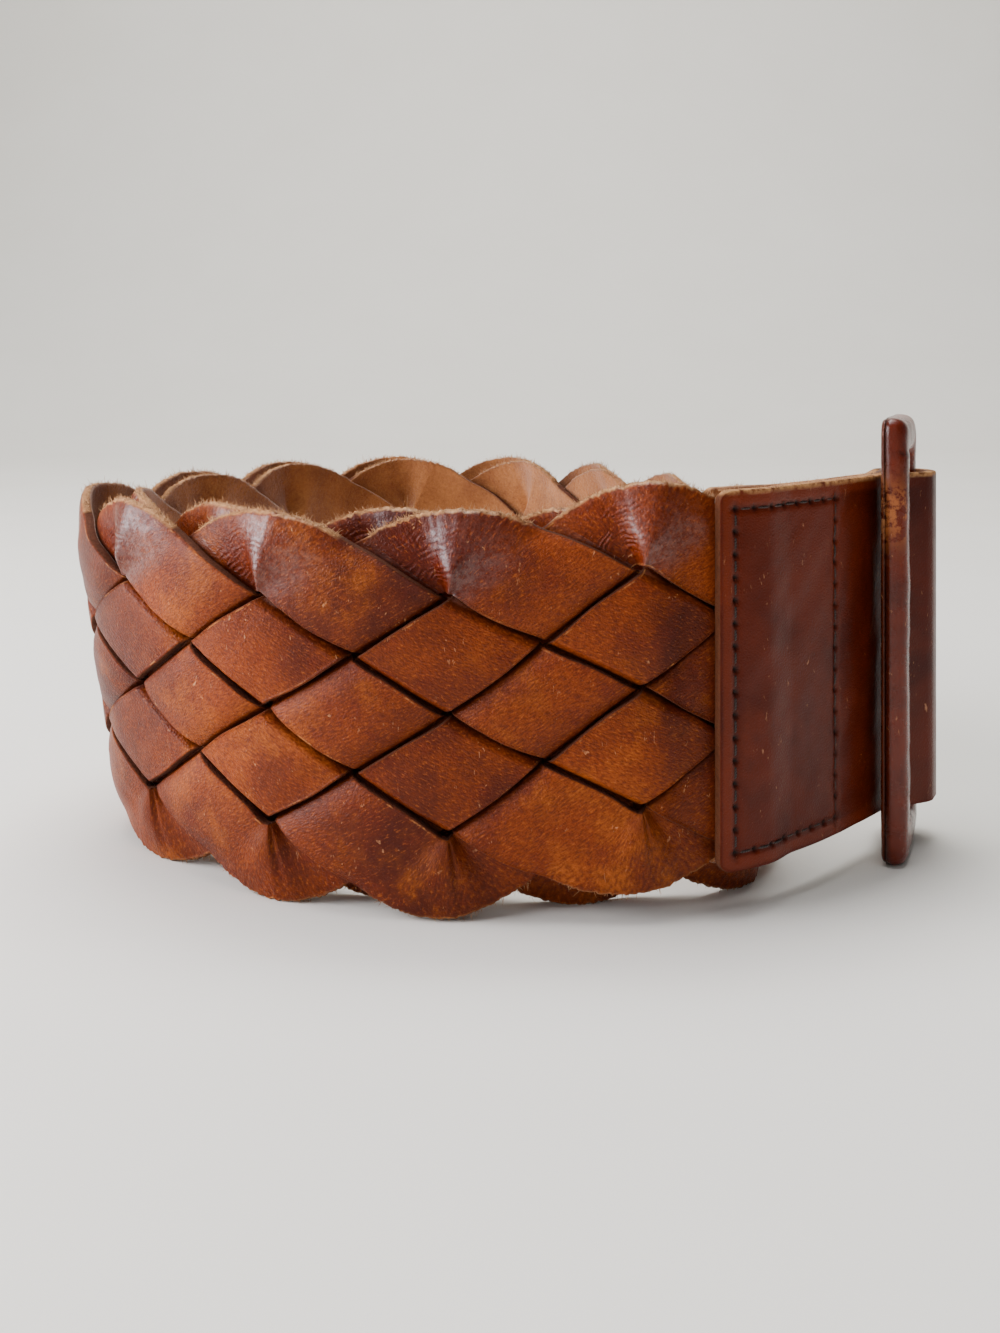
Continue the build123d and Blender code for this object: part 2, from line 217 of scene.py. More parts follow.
# %% Meshes on a body
def build(name, points, faces, body, materials, slots=None, values=None, uv=None):
    """A smooth mesh object with point values and UVs, riding on a body of the frame."""
    points = np.asarray(points, float).reshape(-1, 3)
    mesh = bpy.data.meshes.new(name)
    mesh.from_pydata(points.tolist(), [], [list(map(int, f)) for f in faces])
    for material in materials:
        mesh.materials.append(material)
    if slots is not None:
        mesh.polygons.foreach_set("material_index", np.asarray(slots, np.int32))
    mesh.polygons.foreach_set("use_smooth", np.full(len(mesh.polygons), True))
    for key, value in (values or {}).items():
        flat = np.asarray(value, np.float32).reshape(len(points), -1)
        kind = "FLOAT" if flat.shape[1] == 1 else "FLOAT_VECTOR"
        made = mesh.attributes.new(key, kind, "POINT")
        made.data.foreach_set("value" if kind == "FLOAT" else "vector", flat.ravel())
    if uv is not None:
        corner = np.zeros(len(mesh.loops), np.int32)
        mesh.loops.foreach_get("vertex_index", corner)
        layer_uv = mesh.uv_layers.new(name="UVMap")
        layer_uv.data.foreach_set("uv", np.asarray(uv, np.float32).reshape(-1, 2)[corner].ravel())
    mesh.update()
    made = bpy.data.objects.new(name, mesh)
    bpy.context.scene.collection.objects.link(made)
    if body:
        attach(made, body)
    print(name, len(mesh.polygons), "faces")
    return made

# %% [markdown]
# Leather needs the same few effects on every piece, so each is a node group: a pebbled grain
# with pores, slow stains in the dye, wear where edges rub, and the loose nap of the flesh side.
# The groups take object coordinates, which are metres, and give values between 0 and 1.

# %% Shader helpers
class Tree:
    """Short names for making and joining shader nodes."""

    def __init__(self, tree):
        self.tree = tree

    def join(self, value, socket):
        """Link a node's output to a socket, or set a plain value on it."""
        if isinstance(value, bpy.types.NodeSocket):
            self.tree.links.new(value, socket)
        else:
            socket.default_value = value

    def node(self, kind, inputs=None, **settings):
        made = self.tree.nodes.new(kind)
        for key, value in settings.items():
            setattr(made, key, value)
        for key, value in (inputs or {}).items():
            self.join(value, made.inputs[key])
        return made

    def group(self, made, inputs):
        return self.node("ShaderNodeGroup", inputs, node_tree=made).outputs

    def math(self, operation, a, b=0.0, clamp=False):
        return self.node("ShaderNodeMath", {0: a, 1: b}, operation=operation,
                         use_clamp=clamp).outputs[0]

    def times(self, a, b):
        return self.math("MULTIPLY", a, b)

    def plus(self, a, b, clamp=False):
        return self.math("ADD", a, b, clamp)

    def span(self, value, low, high, to_low=0.0, to_high=1.0):
        return self.node("ShaderNodeMapRange", {0: value, 1: low, 2: high, 3: to_low, 4: to_high},
                         interpolation_type="SMOOTHSTEP").outputs[0]

    def mix(self, factor, a, b):
        return self.node("ShaderNodeMix", {0: factor, 6: a, 7: b}, data_type="RGBA").outputs[2]

    def noise(self, vector, scale, detail=3.0, roughness=0.55, distortion=0.0):
        return self.node("ShaderNodeTexNoise", {"Vector": vector, "Scale": scale,
                                                "Detail": detail, "Roughness": roughness,
                                                "Distortion": distortion}).outputs[0]

    def bump(self, height, distance, strength=1.0, normal=None):
        inputs = {"Height": height, "Distance": distance, "Strength": strength}
        if normal is not None:
            inputs["Normal"] = normal
        return self.node("ShaderNodeBump", inputs).outputs[0]

    def attribute(self, name, output="Fac"):
        return self.node("ShaderNodeAttribute", attribute_name=name).outputs[output]

    def object_place(self):
        return self.node("ShaderNodeTexCoord").outputs["Object"]


def new_group(name, inputs, outputs):
    """A shader node group with named sockets, and the tree, inputs and outputs to fill it."""
    made = bpy.data.node_groups.new(name, "ShaderNodeTree")
    for key, kind, value in inputs:
        socket = made.interface.new_socket(key, in_out="INPUT", socket_type="NodeSocket" + kind)
        if value is not None:
            socket.default_value = value
    for key in outputs:
        made.interface.new_socket(key, in_out="OUTPUT", socket_type="NodeSocketFloat")
    inside = made.nodes.new("NodeGroupInput").outputs
    outside = made.nodes.new("NodeGroupOutput").inputs
    return made, Tree(made), inside, outside


def new_material(name):
    """A material with its tree and its Principled BSDF."""
    material = bpy.data.materials.new(name)
    material.use_nodes = True
    shader = next(n for n in material.node_tree.nodes if n.type == "BSDF_PRINCIPLED")
    return material, Tree(material.node_tree), shader


def colour(r, g, b):
    """A display colour (0 to 255) as linear light."""
    return tuple((c / 255 / 12.92) if c < 10 else ((c / 255 + 0.055) / 1.055) ** 2.4
                 for c in (r, g, b)) + (1.0,)


def show(made):
    """Print how many nodes a group or a material holds."""
    print(made.name, len(getattr(made, "node_tree", made).nodes), "nodes")


print("mid brown in linear light", [round(c, 3) for c in colour(130, 54, 7)])

# %% Leather grain
grain_group, t, i, o = new_group("leather grain", [("Vector", "Vector", None),
                                                   ("Size", "Float", 1.0)],
                                 ["Height", "Pores", "Stain"])
scaled = t.node("ShaderNodeVectorMath", {0: i["Vector"], 3: i["Size"]},
                operation="SCALE").outputs[0]
cells = t.node("ShaderNodeTexVoronoi", {"Vector": scaled, "Scale": 1500.0, "Randomness": 1.0},
               feature="DISTANCE_TO_EDGE").outputs[0]
pebble = t.span(cells, 0.0, 0.35)
fine = t.noise(scaled, 2600.0, 2.0, 0.6)
rolling = t.noise(scaled, 240.0, 4.0, 0.6)
dots = t.node("ShaderNodeTexVoronoi", {"Vector": scaled, "Scale": 620.0,
                                       "Randomness": 1.0}).outputs[0]
pores = t.times(t.span(dots, 0.10, 0.22, 1.0, 0.0), t.span(t.noise(scaled, 90.0, 2.0), 0.45, 0.6))
height = t.plus(t.times(pebble, 0.35), t.times(fine, 0.2))
height = t.plus(height, t.times(rolling, 0.9))
t.join(t.math("SUBTRACT", height, t.times(pores, 0.3)), o["Height"])
t.join(pores, o["Pores"])
t.join(t.noise(scaled, 28.0, 5.0, 0.62, 0.4), o["Stain"])
show(grain_group)

# %% Wear and scuffs
wear_group, t, i, o = new_group("wear", [("Vector", "Vector", None), ("Edge", "Float", 0.0),
                                         ("Amount", "Float", 0.5)], ["Worn", "Scratch"])
patch = t.noise(i["Vector"], 160.0, 6.0, 0.72)
reach = t.plus(t.times(i["Edge"], 0.75), t.times(patch, 0.55))
limit = t.math("SUBTRACT", 1.25, t.times(i["Amount"], 0.6))
t.join(t.span(reach, limit, t.plus(limit, 0.22)), o["Worn"])
stretched = t.node("ShaderNodeMapping", {"Vector": i["Vector"], "Rotation": (0.3, 0.5, 0.7),
                                         "Scale": (1.0, 0.07, 0.4)}).outputs[0]
lines = t.noise(stretched, 900.0, 2.0, 0.5, 1.5)
t.join(t.times(t.span(lines, 0.66, 0.72), t.span(patch, 0.5, 0.62)), o["Scratch"])
show(wear_group)

# %% Suede nap
nap_group, t, i, o = new_group("suede nap", [("Vector", "Vector", None)], ["Height", "Shade"])
tufts = t.noise(i["Vector"], 1400.0, 5.0, 0.75, 0.6)
drift = t.noise(i["Vector"], 120.0, 4.0, 0.6)
t.join(t.plus(t.times(tufts, 0.7), t.times(drift, 0.5)), o["Height"])
t.join(t.plus(t.times(tufts, 0.55), t.times(drift, 0.45)), o["Shade"])
show(nap_group)

# %% [markdown]
# The straps are vegetable-tanned leather with a smooth dyed grain side outward, brown flesh
# inside and dark cut edges.  One flat brown would look like plastic, so the colour is built up
# in layers: slow stains and streaks along the strap in the dye, painted shade in the folds and
# where a strap dives under its neighbours, then wear, scratches and raw fibres.  The meshes
# carry the masks for these (edge, rim, gap and fold), because only the mesh knows where a
# strap ends or folds.

# %% Cut and torn edges
def cut_and_torn(t, where, base, edge, rim, cut_dark, cut_light, raw_light, torn_from, torn_to):
    """Dark cut walls and pale torn rims over a base colour, with the mask of rough places."""
    cut = t.mix(t.noise(where, 900.0, 4.0, 0.7), cut_dark, cut_light)
    base = t.mix(t.span(edge, 0.8, 1.0), base, cut)
    raw = t.mix(t.noise(where, 1100.0, 4.0, 0.7), colour(140, 84, 44), raw_light)
    torn = t.times(rim, t.span(t.noise(where, 500.0, 3.0, 0.6), torn_from, torn_to))
    return t.mix(torn, base, raw), t.math("MAXIMUM", torn, edge)


# %% Strap dye and painted shade
braid_leather, t, shader = new_material("braid leather")
where = t.object_place()
grain = t.group(grain_group, {"Vector": where})
wear = t.group(wear_group, {"Vector": where, "Edge": t.attribute("edge"), "Amount": 0.5})
tone, edge, rim, gap = (t.attribute(k) for k in ("tone", "edge", "rim", "gap"))
fold = t.node("ShaderNodeSeparateXYZ", {0: t.attribute("fold", "Vector")}).outputs
from_corner, fold_turn, top_fold = fold[0], fold[1], fold[2]
dye = t.plus(t.span(grain["Stain"], 0.3, 0.72), t.times(tone, 0.22))
base = t.mix(dye, colour(66, 17, 2), colour(130, 54, 7))
base = t.mix(t.span(t.noise(where, 70.0, 4.0, 0.6), 0.5, 0.75, 0.0, 0.6), base,
             colour(158, 80, 16))
# painted shade: the top folds are painted darker, most within 8 mm of the inner corner, where the
# crease lies in shade
base = t.mix(t.times(top_fold, t.span(from_corner, 8.0, 20.0, 0.6, 0.0)), base,
             colour(80, 16, 5))
along = t.node("ShaderNodeMapping", {"Vector": t.node("ShaderNodeUVMap").outputs[0],
                                     "Scale": (230.0, 85.0, 1.0)}).outputs[0]
fibres = t.noise(along, 1.0, 3.0, 0.6)
base = t.mix(t.span(t.noise(where, 170.0, 4.0, 0.65), 0.48, 0.7, 0.0, 0.5), base,
             colour(88, 22, 4))
base = t.mix(t.span(fibres, 0.42, 0.66, 0.0, 0.55), base, colour(58, 14, 2))
base = t.mix(t.span(fibres, 0.3, 0.44, 0.28, 0.0), base, colour(190, 100, 36))
# painted shade: darker in the dive beside each neighbour and on runs that lie under (the gap mask)
base = t.mix(t.times(gap, 0.6), base, colour(46, 14, 4))
base = t.mix(t.times(grain["Pores"], 0.25), base, colour(60, 24, 10))
show(braid_leather)

# %% Strap wear and edges
line_wear = t.times(t.times(t.span(edge, 0.1, 0.4), t.span(edge, 0.5, 0.85, 1.0, 0.0)),
                    t.span(t.noise(where, 130.0, 5.0, 0.75), 0.54, 0.64))
base = t.mix(t.times(line_wear, 0.5), base, colour(196, 128, 70))
base = t.mix(t.times(wear["Worn"], 0.35), base, colour(198, 124, 66))
base = t.mix(t.times(wear["Scratch"], 0.5), base, colour(206, 146, 100))
base, ragged = cut_and_torn(t, where, base, edge, rim, colour(40, 16, 8), colour(100, 52, 28),
                            colour(222, 172, 118), 0.25, 0.55)
t.join(base, shader.inputs["Base Color"])
show(braid_leather)

# %% [markdown]
# Where a strap folds back at the belt's edge the leather bunches up: fine wrinkles ring the
# inner corner, and the ridge beside it is polished by handling.  Each point carries its
# distance from that corner and its turn round it, so both follow the fold.

# %% Strap wrinkles and polish
ripple = t.math("SINE", t.plus(t.times(from_corner, 5.2),
                               t.times(t.noise(where, 170.0, 3.0, 0.5), 24.0)))
near = t.times(t.span(from_corner, 1.5, 3.5), t.span(from_corner, 10.0, 16.0, 1.0, 0.0))
near = t.times(near, t.span(fold_turn, -0.05, 0.55, 1.0, 0.0))
broken = t.span(t.noise(where, 260.0, 3.0, 0.6), 0.4, 0.62)
ripple = t.times(t.times(ripple, near), t.times(top_fold, broken))
surface = t.bump(grain["Height"], 0.00016, 0.8)
surface = t.bump(fibres, 0.00018, 0.8, surface)
surface = t.bump(ripple, 0.00016, 0.8, surface)
frayed = t.times(t.noise(where, 1500.0, 4.0, 0.75), ragged)
t.join(t.bump(frayed, 0.0006, 0.9, surface), shader.inputs["Normal"])
rough = t.plus(0.34, t.times(t.noise(where, 300.0, 3.0, 0.6), 0.16))
polish = t.times(top_fold, t.span(from_corner, 12.0, 20.0, 1.0, 0.0))
polish = t.times(polish, t.span(fold_turn, -0.42, -0.2))
rough = t.math("SUBTRACT", rough, t.times(polish, 0.1))
worked = t.times(t.span(ripple, -0.6, 0.3, 0.35, 1.0),
                 t.span(t.noise(where, 850.0, 3.0, 0.7), 0.38, 0.6, 0.3, 1.0))
t.join(t.times(polish, worked), shader.inputs["Coat Weight"])
t.join(t.plus(rough, t.times(ragged, 0.4), clamp=True), shader.inputs["Roughness"])
shader.inputs["Specular IOR Level"].default_value = 0.15
shader.inputs["Coat Roughness"].default_value = 0.28
show(braid_leather)

# %% Flesh side
flesh_leather, t, shader = new_material("flesh side")
where = t.object_place()
nap = t.group(nap_group, {"Vector": where})
base = t.mix(t.span(nap["Shade"], 0.3, 0.7), colour(124, 68, 30), colour(192, 124, 66))
base = t.mix(t.times(t.span(t.attribute("tone"), -1.0, 1.0), 0.35), base, colour(150, 88, 42))
base = t.mix(t.times(t.attribute("edge"), 0.6), base, colour(60, 32, 18))
t.join(base, shader.inputs["Base Color"])
t.join(t.bump(nap["Height"], 0.0005, 0.9), shader.inputs["Normal"])
shader.inputs["Roughness"].default_value = 0.92
shader.inputs["Specular IOR Level"].default_value = 0.2
shader.inputs["Sheen Weight"].default_value = 0.35
shader.inputs["Sheen Roughness"].default_value = 0.5
show(flesh_leather)

# %% [markdown]
# A strap follows the braid: a fan round the inner corner at each edge of the belt, then a
# straight run over and under five others, until it folds again.  A flat strip and a bend
# modifier can't weave, so the strap is drawn from cross-lines, one short line across it at
# each step, and each line has a height.  Along a run that height follows the crossings: level
# while it crosses, then a quick dive in the narrow gap between two neighbours.  The lines run
# parallel to the straps that are crossed, so the dive lines up with their edges.

# %% Heights along a strap
crown = 0.5
crossing_half = strap_width / 2 + side_gap / 2
dive_start, dive_width = 9.1, 0.775


def run_profile(d):
    """Height and shoulder of a run at d along the belt, when it starts on top."""
    level = np.clip(np.round(d / half_pitch), 1, strap_count - 1)
    q = np.abs(d - level * half_pitch) * 2 * math.sin(slope)
    sign = (-1.0) ** (level + 1)
    dive = np.cos(math.pi / 2 * np.clip((q - dive_start) / dive_width, 0, 1))
    last = strap_count - 1
    open_end = ((level == 1) & (d < half_pitch)) | ((level == last) & (d > last * half_pitch))
    dive = np.where(open_end, 1.0, dive)
    over = np.clip((q - 3.6) / 6.2, 0, 1) ** 2.2
    shoulder = np.where(open_end, 0.0, np.where(sign > 0, over, np.clip((q - 8.4) / 1.4, 0, 1)))
    return sign * (layer * dive + crown * (1 - (q / crossing_half) ** 2)), shoulder


def fold_rise(b, side):
    """How a strap changes layer across a fold: up past a top corner, down past a bottom one."""
    return -1 + 2 * ease((b + 0.5) / 0.8) if side > 0 else 1 - 2 * ease((b - 0.05) / 0.75)


def fold_bunch(b, radius, top):
    """How far the leather bunches out (mm) at turn b and distance radius from a corner."""
    ridge = np.exp(-((b + 0.1) / np.where(b < -0.1, 0.22, 0.6)) ** 2) \
        * np.exp(-((radius - 7.5) / 6.5) ** 2)
    dome = np.exp(-((b - 0.1) / 0.5) ** 2) * np.exp(-((radius - 4.4) / 3.0) ** 2)
    pinch = np.exp(-((b - 0.2) / 0.09) ** 2) * np.exp(-((radius - 5) / 8) ** 2)
    swell = np.exp(-((b + 0.25) / 0.4) ** 2) * np.exp(-((radius - 6) / 4) ** 2)
    return np.where(top, 0.9 * ridge + 1.0 * dome, 0.6 * swell - 0.7 * pinch)


print("half a crossing is", crossing_half, "mm wide")

# %% One fold and the run after it
def fold_template():
    """Cross-lines of one fold at the top edge and the run that follows it."""
    rim_centre = apex + edge_rise - rim_radius / math.cos(slope)
    corner_centre = apex - edge_rise - corner_radius / math.cos(slope)
    b = np.linspace(-1, 1, 61)
    turn = slope * b
    rim = np.stack([rim_radius * np.sin(turn), rim_centre + rim_radius * np.cos(turn)], -1)
    corner = np.stack([corner_radius * np.sin(turn),
                       corner_centre + corner_radius * np.cos(turn)], -1)
    last = half_turn - fold_reach
    one_side = np.array([0.1, 0.3, 0.5, 0.7, 0.9, 1.15, 1.5, 2.0, 2.6])
    jogs = np.concatenate([-one_side[::-1], one_side])
    d = [np.array([fold_reach])]
    for level in range(1, strap_count):
        low = fold_reach if level == 1 else (level - 0.5) * half_pitch + jogs[-1]
        high = last if level == strap_count - 1 else (level + 0.5) * half_pitch - jogs[-1]
        d.append(np.linspace(low, high, 14)[1:-1])
        if level < strap_count - 1:
            d.append((level + 0.5) * half_pitch + jogs)
    d = np.concatenate(d + [np.array([last])])
    across = np.array([skew * math.cos(slope), skew * math.sin(slope)])
    middle = np.stack([d, apex - math.tan(slope) * d], -1)
    upper, lower = middle + across, middle - across
    bridge = [(rim[-1] + (upper[0] - rim[-1]) * k, corner[-1] + (lower[0] - corner[-1]) * k)
              for k in (0.33, 0.67)]
    rims = np.concatenate([rim, [p for p, _ in bridge], upper])
    corners = np.concatenate([corner, [p for _, p in bridge], lower])
    fan = np.concatenate([b, np.full(len(bridge) + len(d), 2.0)])
    along = np.concatenate([turn * 0, np.full(len(bridge), fold_reach), d])
    return rims, corners, fan, along


template = fold_template()
strap_start, strap_end = tail_edge - sewn_depth, sewn_depth
print("cross-lines in a fold and its run:", len(template[0]))

# %% [markdown]
# The template repeats from the tail to the tab, turned over at every other fold.  Then the
# lines are widened a little where the strap lies level, so that only a narrow gap shows
# between neighbours, and the torn rims of the folds are made uneven.

# %% A strap's cross-lines
def strap_course(index):
    """A strap's lines: two ends, height, shoulder, turn, side and place of the fold, reach."""
    rims, corners, fan, along = template
    at, side = -first_scallop + index * strap_pitch, 1
    while at > strap_start - strap_pitch:
        at, side = at - half_turn, -side
    run_height, shoulder = run_profile(along)
    folded = fan < 1.5
    found = []
    while at < strap_end + strap_pitch:
        first, second = (rims, corners) if side > 0 else (corners, rims)
        level = np.where(folded, layer * fold_rise(fan, side), side * run_height)
        found.append((np.stack([at + first[:, 0], side * first[:, 1]], -1),
                      np.stack([at + second[:, 0], side * second[:, 1]], -1),
                      level, np.where(folded, 0.0, shoulder), fan,
                      np.full(len(fan), side), np.full(len(fan), at), along))
        at, side = at + half_turn, -side
    return [np.concatenate(column) for column in zip(*found)]


def widened(index, upper, lower, sides, reach):
    """The lines' ends after widening and tearing, and the length along the strap."""
    path = np.concatenate([[0], np.cumsum(np.linalg.norm(
        np.diff((upper + lower) / 2, axis=0), axis=1))])
    direction = lower - upper
    direction /= np.linalg.norm(direction, axis=1)[:, None]
    wider = np.where(reach > 0, 0.62 + 0.26 * np.cos(2 * math.pi * reach / half_pitch), 0.0)
    wider = wider * ease((reach - fold_reach) / 4.0) * ease((half_turn - fold_reach - reach) / 4.0)
    upper = upper - direction * (wider + 0.14 * waves(path, index * 7 + 1, 31.0))[:, None]
    lower = lower + direction * (wider + 0.14 * waves(path, index * 7 + 2, 27.0))[:, None]
    torn = np.random.default_rng(index + 40).normal(0, 0.13, (2, len(path))) * (reach <= 0)
    upper = upper - direction * (torn[0] * (sides > 0))[:, None]
    lower = lower + direction * (torn[1] * (sides < 0))[:, None]
    return upper, lower, path


def across_section(width, near, count):
    """Distances from the first edge, close together by both edges."""
    inner = np.linspace(0, 1, count + 2)[None, 1:-1] * (width[:, None] - 2 * near[-1]) + near[-1]
    ones = np.ones_like(width)[:, None]
    return np.concatenate([near * ones, inner, width[:, None] - near[::-1] * ones], 1)


print("a strap has", len(strap_course(0)[0]), "cross-lines before it is cut to length")

# %% [markdown]
# Each line becomes a closed section with a rounded grain side and a flesh side.  The rim of a
# fold rolls inward and the corner bunches out.  At the tab and the tail the section is skived
# to half its thickness, so that the leaves close over it.

# %% A strap's surface
corner_height = apex - edge_rise - corner_radius / math.cos(slope) + corner_radius
roll_reach, roll_top, roll_bottom = 11.0, 1.5, 0.9
skive_lead, skive_length, sewn_height = 5.0, 6.0, 0.775
strap_tones = [0.5, -0.3, 0.1, 0.8, -0.6, -0.05]


def strap_surface(index):
    """Points, faces, slots, point values and UVs of one strap."""
    upper, lower, level, drop, fans, sides, ats, reach = strap_course(index)
    upper, lower, path = widened(index, upper, lower, sides, reach)
    level, drop, side, at = level[:, None], drop[:, None], sides[:, None], ats[:, None]
    width = np.linalg.norm(lower - upper, axis=1)
    grain_x = across_section(width, near_edge, 22)
    flesh_x = across_section(width, near_edge[[0, 2, 4, 6]], 7)[:, ::-1]
    x, grain_columns = np.concatenate([grain_x, flesh_x], 1), grain_x.shape[1]
    grain_side = (np.arange(x.shape[1]) < grain_columns)[None, :]
    width = width[:, None]
    share = x / width
    s = upper[:, None, 0] + (lower - upper)[:, None, 0] * share
    v = upper[:, None, 1] + (lower - upper)[:, None, 1] * share
    radius = np.minimum(np.hypot(s - at, v - side * (corner_height - 0.4)),
                        np.hypot(s - at - half_turn, v + side * (corner_height - 0.4)))
    rim_side = np.where(reach[:, None] < half_turn / 2, side, -side)
    top = rim_side > 0
    to_rim, to_edge = np.where(top, x, width - x), np.minimum(x, width - x)
    in_fan = fans[:, None] < 1.5
    b = np.where(in_fan, fans[:, None], 9.0)
    past_fold = np.minimum(reach, half_turn - reach)[:, None] - fold_reach
    roll = np.clip(1 - to_rim / roll_reach, 0, 1) ** 2 * np.where(in_fan, 1.0,
                                                                  1 - ease(past_fold / 9.0))
    uneven = 0.16 * waves(path, index * 7 + 3, 46.0)[:, None] \
        + 0.12 * waves(path[:, None] * 0.6 + x * 2.0, index * 7 + 4, 33.0)
    height = level + (fold_bunch(b, radius, top) - np.where(top, roll_top, roll_bottom) * roll) \
        + uneven
    fan_rim = np.where(in_fan, np.clip(1.6 - np.abs(b) * 1.1, 0, 1), 0.0) * np.where(top, 1.0, 0.35)
    rolled = fan_rim * (to_rim < width / 2)
    grain_h = strap_thickness / 2 - rounded(to_edge, 0.5 + 0.6 * rolled, 0.45 + 0.7 * rolled) \
        + 0.35 * (1 - (2 * share - 1) ** 2)
    grain_h = grain_h - 1.5 * drop
    flesh_h = -strap_thickness / 2 + rounded(to_edge, 0.5, 0.3)
    half = np.where(grain_side, grain_h, flesh_h)
    inside = np.clip(s, strap_start, strap_end)
    for k in range(s.shape[1]):
        v[:, k] = np.interp(inside[:, k], s[:, k], v[:, k])
        height[:, k] = np.interp(inside[:, k], s[:, k], height[:, k])
    kept = np.flatnonzero(((s > strap_start) & (s < strap_end)).any(1))
    kept = np.arange(kept[0] - 1, kept[-1] + 2)
    sewn = ease((inside + skive_lead) / skive_length + 1) \
        + ease((tail_edge + skive_lead - inside) / skive_length + 1)
    height = height * (1 - sewn) + np.clip(height, -1, 1) * sewn_height * sewn
    points = place(inside, v, height + half * (1 - 0.5 * sewn))[kept]
    edge = np.maximum(cut_walls(x.shape, grain_columns, False),
                      1 - ease(to_edge / np.where(grain_side, 0.9, 0.6)))
    rim = fan_rim * (1 - ease((to_rim - 0.1) / 0.65)) * np.where(grain_side, 1.0, 0.6)
    top_fold = top * np.where(in_fan, 1.0, 1 - ease(past_fold / 5.0))
    # gap: the mask of painted shade, full in the dive beside a neighbour, half on runs that lie
    # under
    gap = np.maximum(drop ** 4, 0.5 * (level < -0.3) * ~in_fan) + 0 * x
    tone = strap_tones[index] + 0.35 * waves(path, index + 90, 160.0)[:, None] + 0 * x
    fold = np.stack(np.broadcast_arrays(radius, np.clip(b, -1, 2), top_fold), -1)
    values = {key: value[kept] for key, value in
              (("edge", edge), ("rim", rim), ("gap", gap), ("tone", tone), ("fold", fold))}
    uv = np.stack([path[:, None] + 0 * x, x], -1)[kept] * 0.01
    faces, slots = sheet_faces(len(kept), x.shape[1], grain_columns, 1)
    return points, faces, slots, values, uv


for number in range(strap_count):
    points, faces, slots, values, uv = strap_surface(number)
    strap = build(f"strap_{number + 1}_leather", points, faces, "belt",
                  [braid_leather, flesh_leather], slots, values, uv)
    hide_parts(f"strap_{number + 1}")

# %% [markdown]
# Raw fibres stand up from the cut rims of the top folds and from the tab's top edge.  A
# particle system could grow them, but it would not be part of the exported mesh, so each is a
# thin curved three-sided hair, and the edges look torn and soft, as old leather does.

# %% Fibre material
fibre_material, t, shader = new_material("raw fibres")
t.join(t.mix(t.noise(t.object_place(), 700.0, 2.0), colour(134, 84, 50), colour(222, 176, 130)),
       shader.inputs["Base Color"])
shader.inputs["Roughness"].default_value = 0.85
shader.inputs["Specular IOR Level"].default_value = 0.2
show(fibre_material)

# %% Hairs
hair_shares, hair_turns = (0.0, 0.35, 0.7, 1.0), (0.0, 2.09, 4.19)


def hairs(name, root, out, seed, reach, thick):
    """Curved hairs; root and out are (N, 3) in belt coordinates (s, v, n)."""
    random = np.random.default_rng(seed)
    count = len(root)
    sideways, outward = np.cross(out, [0, 0, 1.0]), np.array([0.0, 0.0, 1.0])
    long = reach * random.uniform(0.35, 1.0, count) ** 1.5
    lean = random.normal(0, 0.7, (count, 3))
    curl = random.normal(0, 0.6, (count, 3))
    rows = []
    for share in hair_shares:
        centre = root + (out + lean * 0.6) * (long * share)[:, None] \
            + curl * (long * share ** 2)[:, None]
        for turn in hair_turns:
            ring = sideways * math.cos(turn) + outward * math.sin(turn)
            rows.append(centre + ring * (thick * (1 - 0.75 * share)))
    steps, around = len(hair_shares), len(hair_turns)
    grid = np.stack(rows, 1).reshape(count, steps, around, 3)
    starts = (np.arange(count) * steps * around)[:, None, None]
    build(name, place(grid[..., 0], grid[..., 1], grid[..., 2]),
          (ring_quads(steps, around)[None] + starts).reshape(-1, 4), "belt", [fibre_material])


print("faces on one hair:", len(ring_quads(len(hair_shares), len(hair_turns))))

# %% Hairs on the rims
top_hairs, bottom_hairs, bare_end = 420, 70, 9.0
rim_centre = apex + edge_rise - rim_radius / math.cos(slope)
random = np.random.default_rng(11)
roots, outs = [], []
for number in range(strap_count):
    at, side = -first_scallop + number * strap_pitch, 1
    while at > tail_edge:
        at, side = at - half_turn, -side
    while at < 22.0:
        if at > tail_edge + 8:
            count = top_hairs if side > 0 else bottom_hairs
            turn = random.uniform(-slope, slope, count)
            depth = random.uniform(-0.5, 0.8, count)
            spot = np.stack([at + rim_radius * np.sin(turn),
                             side * (rim_centre + rim_radius * np.cos(turn) - 0.15)], -1)
            middle = layer * fold_rise(turn / slope, side) - (roll_top if side > 0 else roll_bottom)
            clear = spot[:, 0] < bare_end
            roots.append(np.column_stack([spot, middle + depth])[clear])
            outs.append(np.column_stack([np.sin(turn), side * np.cos(turn), 0.2 + 0 * turn])[clear])
        at, side = at + half_turn, -side
hairs("rim_fibres", np.concatenate(roots), np.concatenate(outs), 5, 0.8, 0.085)

# %% [markdown]
# The buckle tab is one long strip folded round the frame's far bar.  Its two leaves hold the
# strap ends between them, and a sunk box of stitches closes them.  Its leather is smoother and
# redder than the straps, with a painted highlight on the raised margin outside the stitches.

# %% Tab leather
tab_leather, t, shader = new_material("tab leather")
where = t.object_place()
grain = t.group(grain_group, {"Vector": where})
wear = t.group(wear_group, {"Vector": where, "Edge": t.attribute("edge"), "Amount": 0.42})
edge, rim, press_and_shade = (t.attribute(k) for k in ("edge", "rim", "press_and_shade"))
base = t.mix(t.span(grain["Stain"], 0.3, 0.7), colour(62, 12, 1), colour(94, 28, 3))
base = t.mix(t.span(t.noise(where, 60.0, 4.0, 0.6), 0.52, 0.75, 0.0, 0.45), base,
             colour(108, 38, 9))
# painted highlight: the margin outside the stitches is painted lighter, as the sheen on its raised
# edge
base = t.mix(t.times(t.attribute("margin_highlight"), 0.4), base, colour(124, 46, 15))
